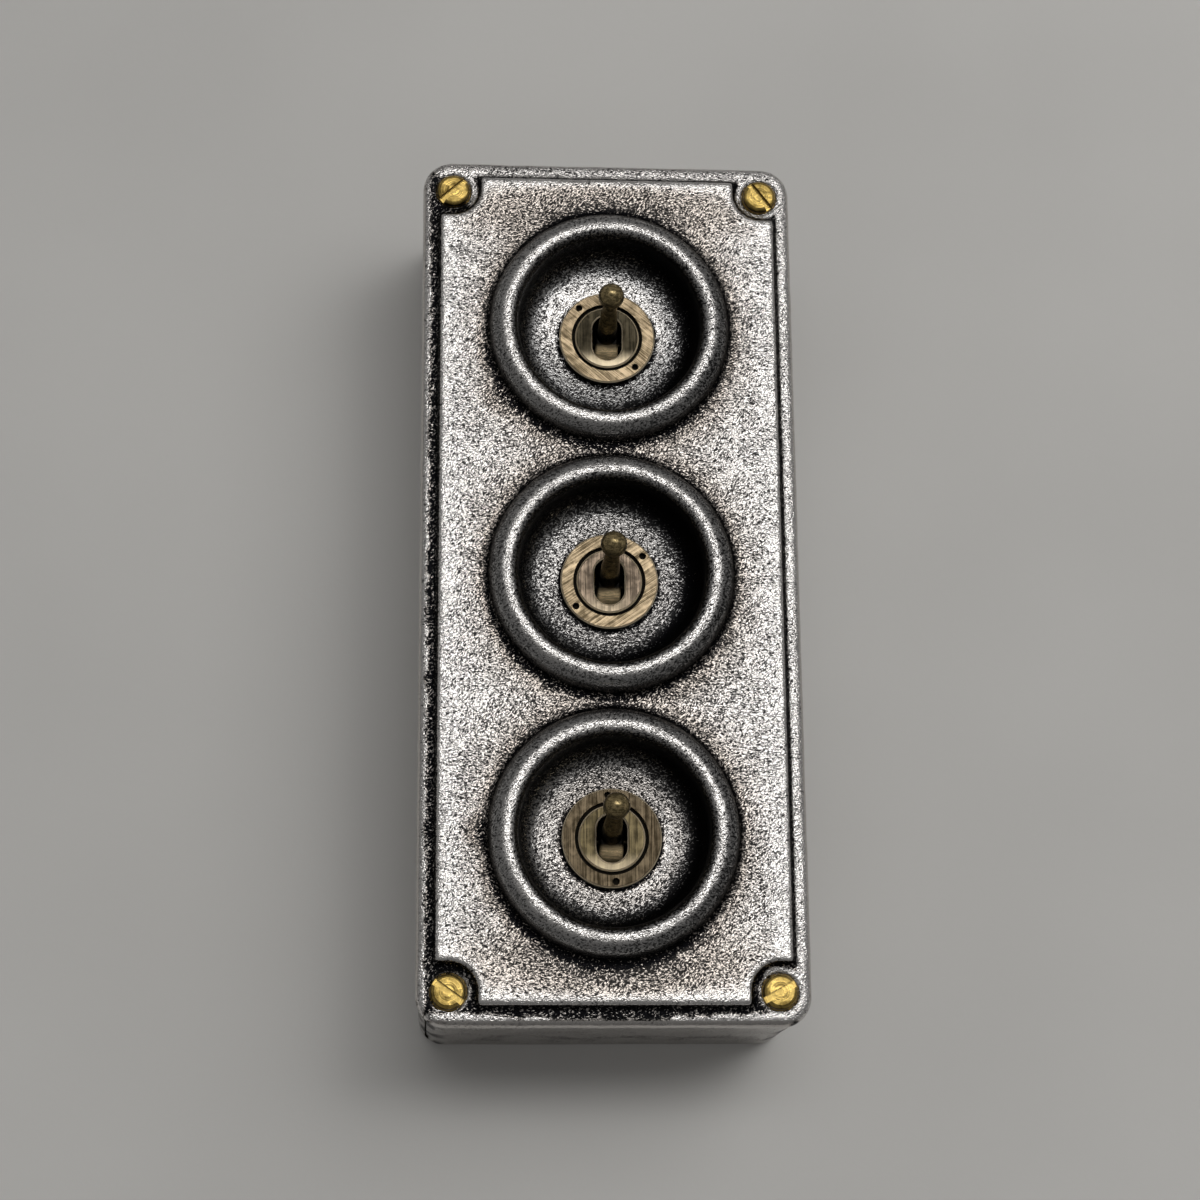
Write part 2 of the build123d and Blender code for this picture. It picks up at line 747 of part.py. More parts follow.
    with BuildPart() as side_terminals:
        with BuildSketch(facing(cavity_floor, centre)):
            with GridLocations(0, 2 * pad_centre, 1, 2):
                Rectangle(pad_width, pad_length)
        extrude(amount=pad_level - cavity_floor)
        with BuildSketch(facing(cavity_floor, centre)):
            with GridLocations(0, 2 * stem_centre, 1, 2):
                Rectangle(stem_width, stem_thickness)
        extrude(amount=-body_base)
        with BuildSketch(facing(body_back, centre)):
            with GridLocations(0, 2 * clamp_pitch, 1, 2):
                Rectangle(clamp_width, clamp_length)
        extrude(amount=-clamp_depth)
        with BuildSketch(crossing(wire_level, centre)):
            with GridLocations(2 * clamp_pitch, 0, 2, 1):
                Circle(wire_hole_radius)
        extrude(amount=clamp_width, both=True, mode=Mode.SUBTRACT)
        with BuildSketch(facing(clamp_back, centre)):
            with GridLocations(0, 2 * clamp_pitch, 1, 2):
                Circle(clamp_screw_radius + thread_gap)
        extrude(amount=clamp_depth - wire_hole_depth, mode=Mode.SUBTRACT)

    side_terminals.part.label = f"side_terminals_{gang}"
    export_step(side_terminals.part, f"parts/side_terminals_{gang}.step")

    with BuildPart() as terminal_screws:
        with BuildSketch(facing(clamp_back, centre)):
            with GridLocations(0, clamp_pitch, 1, 3):
                Circle(clamp_head_radius)
        extrude(amount=-clamp_head_height)
        with BuildSketch(facing(clamp_back, centre)):
            with GridLocations(0, clamp_pitch, 1, 3):
                Circle(clamp_screw_radius)
        extrude(amount=clamp_screw_length)
        with BuildSketch(facing(clamp_back - clamp_head_height, centre)):
            with GridLocations(0, clamp_pitch, 1, 3):
                Rectangle(3 * clamp_head_radius, clamp_slot_width)
        extrude(amount=clamp_slot_depth, mode=Mode.SUBTRACT)

    terminal_screws.part.label = f"terminal_screws_{gang}"
    export_step(terminal_screws.part, f"parts/terminal_screws_{gang}.step")
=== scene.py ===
import json
from math import atan2, cos, exp, hypot, radians, sin

import bmesh
import bpy
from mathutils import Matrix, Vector, noise


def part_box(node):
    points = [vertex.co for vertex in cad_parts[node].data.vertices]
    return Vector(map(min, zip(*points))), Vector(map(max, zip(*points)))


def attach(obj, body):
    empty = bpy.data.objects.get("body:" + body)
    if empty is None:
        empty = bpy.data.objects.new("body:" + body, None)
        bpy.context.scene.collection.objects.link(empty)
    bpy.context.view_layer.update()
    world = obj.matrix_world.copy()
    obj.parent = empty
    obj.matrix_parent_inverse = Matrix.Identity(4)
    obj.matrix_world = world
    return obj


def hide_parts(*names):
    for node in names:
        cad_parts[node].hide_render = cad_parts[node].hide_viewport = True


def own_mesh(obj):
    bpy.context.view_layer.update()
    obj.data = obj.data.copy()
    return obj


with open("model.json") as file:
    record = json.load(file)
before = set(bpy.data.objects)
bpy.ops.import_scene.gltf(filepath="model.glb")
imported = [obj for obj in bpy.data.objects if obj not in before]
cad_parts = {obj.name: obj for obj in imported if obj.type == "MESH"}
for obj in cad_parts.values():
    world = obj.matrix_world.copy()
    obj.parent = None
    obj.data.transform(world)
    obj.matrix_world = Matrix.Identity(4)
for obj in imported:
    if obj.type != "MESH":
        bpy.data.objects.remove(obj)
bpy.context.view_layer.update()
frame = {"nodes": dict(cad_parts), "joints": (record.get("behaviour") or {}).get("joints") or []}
scene = bpy.context.scene
mm = 0.001
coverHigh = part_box("cover_plate")[1]
boxLow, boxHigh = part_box("back_box")
toggles = [j for j in frame["joints"] if j["name"].startswith("toggle")]
gangs = {j["child"].split("_")[1]: Vector(j["pos_m"]) for j in toggles}
print("frame:", len(frame["nodes"]), "nodes,", len(gangs), "gangs")


# node helpers

noiseMiddle = 0.5
noiseSpan = (0.35, 0.65)        # most of a noise lies in here


def setInputs(tree, node, values):
    for key, value in values.items():
        if isinstance(value, bpy.types.NodeSocket):
            tree.links.new(value, node.inputs[key])
        else:
            node.inputs[key].default_value = value


def addNode(tree, kind, values=None, **settings):
    node = tree.nodes.new("ShaderNode" + kind)
    for key, value in settings.items():
        setattr(node, key, value)
    setInputs(tree, node, values or {})
    return node


def maths(tree, kind, *values):
    return addNode(tree, "Math", dict(enumerate(values)), operation=kind).outputs[0]


def vectors(tree, kind, *values):
    node = addNode(tree, "VectorMath", dict(enumerate(values)), operation=kind)
    return node.outputs["Value" if kind in ("DOT_PRODUCT", "LENGTH") else "Vector"]


def inMillimetres(tree, scale=(1, 1, 1), turn=(0, 0, 0), centre=(0, 0, 0)):
    place = addNode(tree, "TexCoord").outputs["Object"]
    moved = vectors(tree, "ADD", place, [-c for c in centre])
    angles = [radians(t) for t in turn]
    turned = addNode(tree, "Mapping", {"Vector": moved, "Rotation": angles}).outputs[0]
    return vectors(tree, "MULTIPLY", turned, [s / mm for s in scale])


def grainNoise(tree, place, scale=1.0, detail=2.0, rough=0.5, swirl=0.0):
    values = {"Vector": place, "Scale": scale, "Detail": detail, "Roughness": rough, "Distortion": swirl}
    return addNode(tree, "TexNoise", values).outputs["Fac"]


def sums(tree, *parts):
    total = None
    for value, share in parts:
        part = maths(tree, "MULTIPLY", value, share)
        total = part if total is None else maths(tree, "ADD", total, part)
    return total


def ramp(tree, value, low, high, start=0.0, end=1.0):
    values = {"Value": value, "From Min": low, "From Max": high, "To Min": start, "To Max": end}
    return addNode(tree, "MapRange", values, interpolation_type="SMOOTHSTEP").outputs[0]


def mixed(tree, share, first, second):
    return addNode(tree, "Mix", {0: share, 2: first, 3: second}).outputs[0]


def blend(tree, share, *colours):
    first, second = (c if isinstance(c, bpy.types.NodeSocket) else (*c, 1.0) for c in colours)
    return addNode(tree, "Mix", {0: share, 6: first, 7: second}, data_type="RGBA").outputs[2]


def newMaterial(name):
    material = bpy.data.materials.new(name)
    material.use_nodes = True
    tree = material.node_tree
    return material, tree, tree.nodes["Principled BSDF"]


def finishMaterial(tree, bsdf, colour, rough, height, strength, depth, metal=1.0):
    bump = addNode(tree, "Bump", {"Strength": strength, "Distance": depth * mm, "Height": height})
    setInputs(tree, bsdf, {"Base Color": colour, "Roughness": rough, "Metallic": metal})
    tree.links.new(bump.outputs["Normal"], bsdf.inputs["Normal"])


# cast metal under a wiped black patina; attributes hold how much of it is left at each place, together with
# painted shade and painted highlights, how gritty the place is and how warm its stain

castFinish = ("patinaAndShade", "grit", "warm")
castLook = {
    "bare": (0.68, 0.66, 0.642),
    "stained": (0.46, 0.415, 0.375),
    "cool": (0.42, 0.417, 0.416),
    "black": (0.006, 0.006, 0.007),
    "bareRough": 0.24,
    "blackRough": 0.42,
    "strokes": (1.6, 2.2, 2.65),
    "strokeSlant": 48,
    "strokeDetail": 0.5,
    "strokeSwirl": 0.8,
    "strokeShare": 3.3,
    "patchScale": 0.09,
    "patchEdge": (0.46, 0.54),
    "lumpScale": 0.6,
    "lumpSwirl": 0.6,
    "lumpShare": 0.14,
    "cloudScale": 0.075,
    "cloudShare": 0.12,
    "relief": 0.22,
    "stainAt": (0.26, 0.56),
    "blackAt": (0.48, 0.78),
    "solidAt": (0.7, 0.95),
    "wipedShare": 0.955,
}


def castStrokes(tree, slant):
    place = inMillimetres(tree, castLook["strokes"], (0, slant, 0))
    return grainNoise(tree, place, detail=castLook["strokeDetail"], swirl=castLook["strokeSwirl"])


def castMetal(name):
    material, tree, bsdf = newMaterial(name)
    patinaAndShade, grit, warm = (addNode(tree, "Attribute", attribute_name=key).outputs["Fac"] for key in castFinish)
    place = inMillimetres(tree)
    patches = ramp(tree, grainNoise(tree, place, castLook["patchScale"], detail=1.0), *castLook["patchEdge"])
    strokes = mixed(tree, patches, castStrokes(tree, 0), castStrokes(tree, castLook["strokeSlant"]))
    lumps = grainNoise(tree, place, castLook["lumpScale"], detail=1.0, swirl=castLook["lumpSwirl"])
    cloud = grainNoise(tree, place, castLook["cloudScale"], detail=3.0, rough=0.55)
    height = sums(tree, (strokes, 1.0 - castLook["lumpShare"]), (lumps, castLook["lumpShare"]))
    speckle = maths(tree, "MULTIPLY", maths(tree, "SUBTRACT", noiseMiddle, height), grit)
    left = sums(tree, (patinaAndShade, 1.0), (speckle, castLook["strokeShare"]), (cloud, castLook["cloudShare"]))
    # the strokes of wiped places aren't quite black
    most = ramp(tree, patinaAndShade, *castLook["solidAt"], castLook["wipedShare"], 1.0)
    share = maths(tree, "MULTIPLY", ramp(tree, left, *castLook["blackAt"]), most)
    stain = blend(tree, warm, castLook["cool"], castLook["stained"])
    tint = blend(tree, ramp(tree, patinaAndShade, *castLook["stainAt"]), castLook["bare"], stain)
    colour = blend(tree, share, tint, castLook["black"])
    rough = ramp(tree, share, 0.0, 1.0, castLook["bareRough"], castLook["blackRough"])
    finishMaterial(tree, bsdf, colour, rough, height, grit, castLook["relief"])
    return material


# rings and bushes: brushed brass with a painted glow low on each bush, pale edges that are partly rubbed and
# partly a painted highlight, and black below the face, wax in the grooves and painted shade on the sides

brassLook = {
    "waxAndShadow": (0.0035, 0.003, 0.0022),
    "edge": (0.74, 0.62, 0.43),
    "edgeMetal": 0.4,
    "brush": (0.07, 4.5, 4.5),
    "brushShare": 0.62,
    "spotScale": 0.40,
    "brightAt": (0.38, 0.62),
    "glowAt": (-3.0, -8.0),
    "chamferAt": (0.03, 0.10),
    "grooveAt": (0.40, 0.52),
    "rough": (0.44, 0.30),
    "bump": (0.4, 0.04),
}


def depthUnder(tree, front, span):
    y = addNode(tree, "SeparateXYZ", {0: inMillimetres(tree)}).outputs["Y"]
    return ramp(tree, y, span[0] - front, span[1] - front)


def brushedBrass(name, bright, dark, turn, front, centre=(0, 0, 0), glow=0.0):
    material, tree, bsdf = newMaterial(name)
    brush = inMillimetres(tree, brassLook["brush"], (0, turn, 0))
    lines = grainNoise(tree, brush, detail=3.0, rough=0.6)
    spots = grainNoise(tree, inMillimetres(tree), brassLook["spotScale"], detail=3.0, rough=0.6, swirl=0.5)
    shade = sums(tree, (lines, brassLook["brushShare"]), (spots, 1.0 - brassLook["brushShare"]))
    z = addNode(tree, "SeparateXYZ", {0: inMillimetres(tree, centre=centre)}).outputs["Z"]
    # painted highlight: the lower part of a bush turns to the pale edge colour, as much as glow
    lower = ramp(tree, z, *brassLook["glowAt"], 0.0, glow)
    # pale chamfers, partly wear and partly a painted highlight; black deeper down, wax in the grooves and
    # painted shade on the sides
    chamfer = depthUnder(tree, front, brassLook["chamferAt"])
    waxAndSideShade = depthUnder(tree, front, brassLook["grooveAt"])
    face = blend(tree, ramp(tree, shade, *brassLook["brightAt"]), dark, bright)
    rubbed = blend(tree, lower, face, brassLook["edge"])
    edged = blend(tree, chamfer, rubbed, brassLook["edge"])
    colour = blend(tree, waxAndSideShade, edged, brassLook["waxAndShadow"])
    rough = ramp(tree, shade, *noiseSpan, *brassLook["rough"])
    metal = ramp(tree, maths(tree, "SUBTRACT", chamfer, waxAndSideShade), 0.0, 1.0, 1.0, brassLook["edgeMetal"])
    finishMaterial(tree, bsdf, colour, rough, lines, *brassLook["bump"], metal)
    return material


# levers: aged bronze, black at the root as a painted shadow where the shank goes into the slot, and a paler,
# less metallic hub below the pivot whose pale colour is partly a painted highlight

leverLook = {
    "bright": (0.52, 0.40, 0.20),
    "dark": (0.11, 0.086, 0.040),
    "brightAt": (0.40, 0.66),
    "hub": (0.86, 0.66, 0.38),
    "hubShade": 0.5,
    "hubLinesAt": (0.40, 0.60),
    "hubAt": (-1.1, -3.2),
    "rootAt": (-4.2, -2.6),
    "metal": (0.85, 0.2),
    "brush": (0.3, 3.2, 3.2),
    "brushShare": 0.4,
    "spotScale": 0.75,
    "rough": (0.42, 0.25),
    "bump": (0.4, 0.10),
}


def agedBronze(name, centre, front):
    material, tree, bsdf = newMaterial(name)
    place = inMillimetres(tree, centre=centre)
    spots = grainNoise(tree, place, leverLook["spotScale"], detail=4.0, rough=0.65, swirl=0.6)
    lines = grainNoise(tree, inMillimetres(tree, leverLook["brush"]), rough=0.6)
    shade = sums(tree, (spots, 1.0 - leverLook["brushShare"]), (lines, leverLook["brushShare"]))
    z = addNode(tree, "SeparateXYZ", {0: place}).outputs["Z"]
    shank = blend(tree, ramp(tree, shade, *leverLook["brightAt"]), leverLook["dark"], leverLook["bright"])
    # painted shadow: the root of the shank goes black
    rootShadowed = blend(tree, depthUnder(tree, front, leverLook["rootAt"]), shank, brassLook["waxAndShadow"])
    hubDark = [leverLook["hubShade"] * c for c in leverLook["hub"]]
    hub = blend(tree, ramp(tree, lines, *leverLook["hubLinesAt"]), hubDark, leverLook["hub"])
    # pale hub below the pivot, partly a painted highlight
    colour = blend(tree, ramp(tree, z, *leverLook["hubAt"]), rootShadowed, hub)
    rough = ramp(tree, shade, *noiseSpan, *leverLook["rough"])
    metal = ramp(tree, z, *leverLook["hubAt"], *leverLook["metal"])
    finishMaterial(tree, bsdf, colour, rough, shade, *leverLook["bump"], metal)
    return material


# cover screws: turned brass, with painted shadow on the walls of the slot and a painted highlight on its
# floor

screwLook = {
    "bright": (0.55, 0.39, 0.12),
    "dark": (0.09, 0.06, 0.015),
    "brightAt": (0.36, 0.60),
    "headRadius": 4.3,
    "wallsAt": (0.45, 0.75),
    "wallShade": 0.22,
    "floorAt": (1.15, 1.25),
    "floorHighlightShare": 0.85,
    "ringScale": 1.5,
    "ringShare": 0.5,
    "spotScale": 0.45,
    "rough": (0.38, 0.22),
    "bump": (0.6, 0.25),
}
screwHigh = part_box("cover_screws")[1]
screwAt = (screwHigh.x / mm - screwLook["headRadius"], screwHigh.z / mm - screwLook["headRadius"])


def turnedBrass(name, front):
    material, tree, bsdf = newMaterial(name)
    place = inMillimetres(tree)
    offset = vectors(tree, "ADD", vectors(tree, "ABSOLUTE", place), (-screwAt[0], 0, -screwAt[1]))
    radius = vectors(tree, "LENGTH", vectors(tree, "MULTIPLY", offset, (1, 0, 1)))
    across = addNode(tree, "CombineXYZ", {0: radius}).outputs[0]
    rings = grainNoise(tree, across, screwLook["ringScale"], rough=0.6)
    spots = grainNoise(tree, place, screwLook["spotScale"], detail=4.0, rough=0.6, swirl=0.6)
    shade = sums(tree, (rings, screwLook["ringShare"]), (spots, 1.0 - screwLook["ringShare"]))
    head = blend(tree, ramp(tree, shade, *screwLook["brightAt"]), screwLook["dark"], screwLook["bright"])
    slotWallShadow = [screwLook["wallShade"] * c for c in screwLook["dark"]]
    slotFloorHighlight = [screwLook["floorHighlightShare"] * c for c in screwLook["bright"]]
    # painted shadow on the walls of the slot, painted highlight on its floor
    slotShadowed = blend(tree, depthUnder(tree, front, screwLook["wallsAt"]), head, slotWallShadow)
    colour = blend(tree, depthUnder(tree, front, screwLook["floorAt"]), slotShadowed, slotFloorHighlight)
    rough = ramp(tree, shade, *noiseSpan, *screwLook["rough"])
    finishMaterial(tree, bsdf, colour, rough, shade, *screwLook["bump"])
    return material


# plain metals and the moulding, nearly all inside the box

plainLook = {
    "zincSteel": {"colour": (0.56, 0.56, 0.55), "shadow": (0.42, 0.41, 0.39),
                  "rough": (0.30, 0.44), "metal": 1.0},
    "plainBrass": {"colour": (0.72, 0.52, 0.22), "shadow": (0.55, 0.38, 0.16),
                   "rough": (0.27, 0.41), "metal": 1.0},
    "waxedPin": {"colour": (0.050, 0.042, 0.028), "shadow": (0.025, 0.021, 0.015),
                 "rough": (0.34, 0.48), "metal": 1.0},
    "darkMoulding": {"colour": (0.030, 0.024, 0.020), "shadow": (0.045, 0.034, 0.028),
                     "rough": (0.36, 0.50), "metal": 0.0},
}
plainGrain = {"cloudScale": 0.5, "scratches": (0.4, 3.0, 3.0), "scratchAt": (0.3, 0.7), "bump": (0.2, 0.05)}


def plainMetal(name):
    look = plainLook[name]
    material, tree, bsdf = newMaterial(name)
    cloud = grainNoise(tree, inMillimetres(tree), plainGrain["cloudScale"], detail=3.0, rough=0.6)
    scratch = grainNoise(tree, inMillimetres(tree, plainGrain["scratches"]))
    colour = blend(tree, ramp(tree, cloud, *noiseSpan), look["colour"], look["shadow"])
    rough = ramp(tree, scratch, *plainGrain["scratchAt"], *look["rough"])
    finishMaterial(tree, bsdf, colour, rough, scratch, *plainGrain["bump"], look["metal"])
    return material


# castings: the solids of the frame, cut up finely, with the unevenness of sand casting

coverLook = {
    "voxel": 0.68,
    "shell": 2.0,
    "wellShell": 1.5,
    "wellRadius": 23.4,
    "wellBack": 44.6,
    "crestRadius": 26.0,
    "beadOut": 30.7,
    "ringRadius": 12.4,
    "borderBack": 50.25,
    "sideFront": 50.0,
    "panelFront": 54.0,
    "panelHalf": (43.5, 107.5),
    "notchRadius": 7.0,
    "rim": 0.7,
    "lowerRim": 1.9,
    "waves": ((0.05, 1.9), (0.09, 7.0)),
    "dish": {"start": 11.5, "top": 17.5, "end": 22.5, "high": 0.6},
}
boxLook = {"voxel": 0.8, "shell": 2.0, "waves": ((0.03, 2.6), (0.10, 14.0))}
weld = 0.002
nearRounds = 8      # rounds of smoothing that find the small hollows
wideRounds = 60     # and the broad ones


def weldedMesh(node):
    mesh = frame["nodes"][node].data.copy()
    work = bmesh.new()
    work.from_mesh(mesh)
    bmesh.ops.remove_doubles(work, verts=work.verts, dist=weld * mm)
    for f in work.faces:
        f.smooth = True
    work.to_mesh(mesh)
    work.free()
    return mesh


def finelyCut(name, node, voxel):
    rough = bpy.data.objects.new(name + "Rough", weldedMesh(node))
    scene.collection.objects.link(rough)
    cut = rough.modifiers.new("cut", "REMESH")
    cut.mode = "VOXEL"
    cut.voxel_size = voxel * mm
    fine = bpy.data.meshes.new_from_object(rough.evaluated_get(bpy.context.evaluated_depsgraph_get()))
    bpy.data.objects.remove(rough)
    return fine


def smoothOnce(work, verts):
    bmesh.ops.smooth_vert(work, verts=verts, factor=0.5,
                          use_axis_x=True, use_axis_y=True, use_axis_z=True)


def hollows(work, rounds):
    still = [v.co.copy() for v in work.verts]
    for _ in range(rounds):
        smoothOnce(work, work.verts)
    depth = [(v.co - s).dot(v.normal) / mm for v, s in zip(work.verts, still)]
    for v, s in zip(work.verts, still):
        v.co = s
    return depth


def smoothStep(value, low, high):
    share = min(max(0.0, (value - low) / (high - low)), 1.0)
    return share * share * (3.0 - 2.0 * share)


def gangRadius(point):
    return min(hypot(point.x, point.z - g.z / mm) for g in gangs.values())


def castPush(point, look):
    push = sum(high * noise.noise(point / across) for high, across in look["waves"])
    dish = look.get("dish")
    if dish and -point.y > look["wellBack"]:
        r = gangRadius(point)
        rise = smoothStep(r, dish["start"], dish["top"]) - smoothStep(r, dish["top"], dish["end"])
        push += dish["high"] * rise
    return push


def castPiece(name, node, look, hidden, finishAt, material):
    mesh = finelyCut(name, node, look["voxel"])
    work = bmesh.new()
    work.from_mesh(mesh)
    unseen = [f for f in work.faces if hidden(f.calc_center_median() / mm)]
    bmesh.ops.delete(work, geom=unseen, context="FACES")
    smoothOnce(work, [v for v in work.verts if not v.is_boundary])
    work.normal_update()
    near = hollows(work, nearRounds)
    wide = hollows(work, wideRounds)
    finish = [finishAt(v.co / mm, v.normal, a, b) for v, a, b in zip(work.verts, near, wide)]
    for v in work.verts:
        v.co += v.normal * castPush(v.co / mm, look) * mm
    for f in work.faces:
        f.smooth = True
    work.to_mesh(mesh)
    work.free()
    for place, attribute in enumerate(castFinish):
        values = [min(max(f[place], 0.0), 1.0) for f in finish]
        mesh.attributes.new(attribute, "FLOAT", "POINT").data.foreach_set("value", values)
    mesh.materials.clear()
    mesh.materials.append(material)
    piece = bpy.data.objects.new(name, mesh)
    scene.collection.objects.link(piece)
    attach(piece, "case")
    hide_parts(node)
    print(name + ":", len(mesh.polygons), "faces")


# faces inside the closed box, which are left out

def within(point, high, shell):
    return abs(point.x) < high.x / mm - shell and abs(point.z) < high.z / mm - shell


def coverHidden(point):
    inWell = gangRadius(point) < coverLook["wellRadius"] + coverLook["wellShell"]
    inWell = inWell and -point.y > coverLook["wellBack"]
    return within(point, coverHigh, coverLook["shell"]) and -point.y < coverLook["borderBack"] and not inWell


def boxHidden(point):
    return within(point, boxHigh, boxLook["shell"]) and -point.y > boxLook["shell"]


# patina left in a well, and painted light: each floor has a painted highlight turned its own way per gang,
# with painted shade above and below it; the wall is darker, with painted shade heaviest on the right; the
# foot of the ring is black with wax and a painted contact shadow below it

wellLook = {
    "top": {"highlightTurn": 95.0, "floor": 0.20, "highlightSwing": 0.11, "lean": 0.08, "wall": 0.84, "warm": 0.1},
    "middle": {"highlightTurn": 110.0, "floor": 0.43, "highlightSwing": 0.05, "lean": 0.03, "wall": 0.90, "warm": 0.3},
    "bottom": {"highlightTurn": -45.0, "floor": 0.30, "highlightSwing": 0.05, "lean": 0.10, "wall": 0.80, "warm": 0.7},
}
wellWaxAndShade = {
    "wallFrom": 13.2,
    "wallSwing": 0.19,
    "wallTurn": 0.35,
    "footAt": (0.2, 1.1),
    "foot": 0.9,
    "footSwing": 0.7,
    "grit": 0.9,
    "wallGrit": 0.5,
}


def wellFinish(r, angle, well):
    rise = smoothStep(r, wellWaxAndShade["wallFrom"], coverLook["wellRadius"])
    # painted highlight on the floor: less black towards the gang's own turn, more above and below as painted
    # shade
    rubbed = well["highlightSwing"] * (1.0 - cos(angle - radians(well["highlightTurn"])))
    floor = well["floor"] + rubbed + well["lean"] * abs(sin(angle))
    wall = well["wall"] + wellWaxAndShade["wallSwing"] * cos(angle + wellWaxAndShade["wallTurn"])      # painted shade, heaviest on the right
    # wax at the foot of the ring, heavier below as a painted contact shadow
    foot = 1.0 - smoothStep(r - coverLook["ringRadius"], *wellWaxAndShade["footAt"])
    left = floor + (wall - floor) * rise
    left += (wellWaxAndShade["foot"] - wellWaxAndShade["footSwing"] * sin(angle)) * foot
    return left, wellWaxAndShade["grit"] - wellWaxAndShade["wallGrit"] * rise, well["warm"] * (1.0 - rise)


# beads: crest less black, partly rubbed bare and partly a painted highlight set just inside the true crest;
# flanks darker with wax and painted shade, more on the right outer and lower inner flanks, less on the lower
# outer flank

beadWaxShadeAndSheen = {
    "flank": 0.55,
    "inner": 0.13,
    "innerLow": 0.13,
    "innerWidth": 1.2,
    "outerRight": 0.10,
    "outerLow": 0.06,
    "rightTurn": 0.5,
    "crest": 0.40,
    "crestWidth": 1.3,
    "grit": 0.28,
    "crestGrit": 0.72,
    "warm": 0.15,
}


def beadFinish(r, angle):
    # painted highlight on the crest, partly also the rubbed bare crest
    crest = exp(-((r - coverLook["crestRadius"]) / beadWaxShadeAndSheen["crestWidth"]) ** 2)
    inner = smoothStep(coverLook["crestRadius"] - r, 0.0, beadWaxShadeAndSheen["innerWidth"])
    low = max(0.0, -sin(angle))
    right = max(0.0, cos(angle + beadWaxShadeAndSheen["rightTurn"]))
    innerWax = beadWaxShadeAndSheen["inner"] + beadWaxShadeAndSheen["innerLow"] * low
    outerWax = beadWaxShadeAndSheen["outerRight"] * right - beadWaxShadeAndSheen["outerLow"] * low
    flank = beadWaxShadeAndSheen["flank"] + inner * innerWax + (1.0 - inner) * outerWax
    return flank - beadWaxShadeAndSheen["crest"] * crest, beadWaxShadeAndSheen["grit"] + beadWaxShadeAndSheen["crestGrit"] * crest, beadWaxShadeAndSheen["warm"]


# border: bright, lighter towards the right with a painted highlight and darker at the top end, with a ragged
# black line of wax along the raised panel that painted shadow widens on the left and most below its middle

borderWaxAndShadow = {
    "rubbed": 0.16,
    "upper": 0.16,
    "upperSharp": 8,
    "right": 0.05,
    "line": 1.2,
    "lineSharp": 6,
    "leftWidth": 2.3,
    "rightWidth": 0.8,
    "topWidth": 0.6,
    "lowWidth": 1.6,
    "poolWidth": 1.8,
    "poolAt": -2.0,
    "poolHalf": 22.0,
    "ragged": 0.4,
    "raggedSize": 3.0,
    "hollow": 0.3,
    "least": -0.2,
    "grit": 1.0,
    "warm": 0.6,
}


def borderFinish(point, near):
    halfX, halfZ = coverLook["panelHalf"]
    beside, above = abs(point.x) - halfX, abs(point.z) - halfZ
    across, along = abs(point.x) - screwAt[0], abs(point.z) - screwAt[1]
    beyond = max(beside, above, coverLook["notchRadius"] - hypot(across, along))
    # width of the black line: wax, widened by painted shadow on the left and below the middle
    if beside > above:
        broad = borderWaxAndShadow["leftWidth"] if point.x < 0 else borderWaxAndShadow["rightWidth"]
    elif point.z > 0:
        broad = borderWaxAndShadow["topWidth"]
    else:
        pool = exp(-((point.x - borderWaxAndShadow["poolAt"]) / borderWaxAndShadow["poolHalf"]) ** 2)
        broad = borderWaxAndShadow["lowWidth"] + borderWaxAndShadow["poolWidth"] * pool
    ragged = 1.0 + borderWaxAndShadow["ragged"] * noise.noise(point / borderWaxAndShadow["raggedSize"])
    line = borderWaxAndShadow["line"] * exp(-(max(0.0, beyond) / (broad * ragged)) ** borderWaxAndShadow["lineSharp"])
    left = borderWaxAndShadow["rubbed"] + borderWaxAndShadow["upper"] * max(0.0, point.z / halfZ) ** borderWaxAndShadow["upperSharp"]
    # lighter towards the right: painted highlight
    left -= borderWaxAndShadow["right"] * smoothStep(point.x, 0.0, halfX)
    left += line + borderWaxAndShadow["hollow"] * max(near, borderWaxAndShadow["least"])
    return left, borderWaxAndShadow["grit"], borderWaxAndShadow["warm"]


# raised panel: wax round each bead, with painted shadow that makes it solid below and to its left; darker
# round each bead, thinning out slowly, more to the right and above and below; lighter on the right with a
# painted highlight; a bright rubbed edge; ends darker, partly wax and partly painted shade; and a few blots

panelWaxShadeAndSheen = {
    "rubbed": 0.305,
    "right": 0.03,
    "hollow": 1.0,
    "least": -0.1,
    "broadHollow": 0.10,
    "broadLeast": -0.3,
    "edge": 0.15,
    "edgeWidth": 4.0,
    "foot": 0.5,
    "footWidth": 0.7,
    "pool": 0.9,
    "poolTurn": 1.95,
    "poolWidth": 2.0,
    "ragged": 0.8,
    "raggedSize": 5.0,
    "mist": 0.28,
    "mistWidth": 7.5,
    "mistAround": 0.55,
    "mistRight": 0.25,
    "mistTurn": 0.3,
    "mistEnds": 0.8,
    "endAt": (86.0, 100.0),
    "upperEnd": 0.19,
    "lowerEnd": 0.16,
    "endGrit": 0.35,
    "blot": 0.5,
    "blots": ((-26.5, 47.5, 4.0), (-32.0, -65.5, 3.0), (-29.5, 58.0, 2.5)),
    "grit": 1.0,
    "warm": 1.0,
}


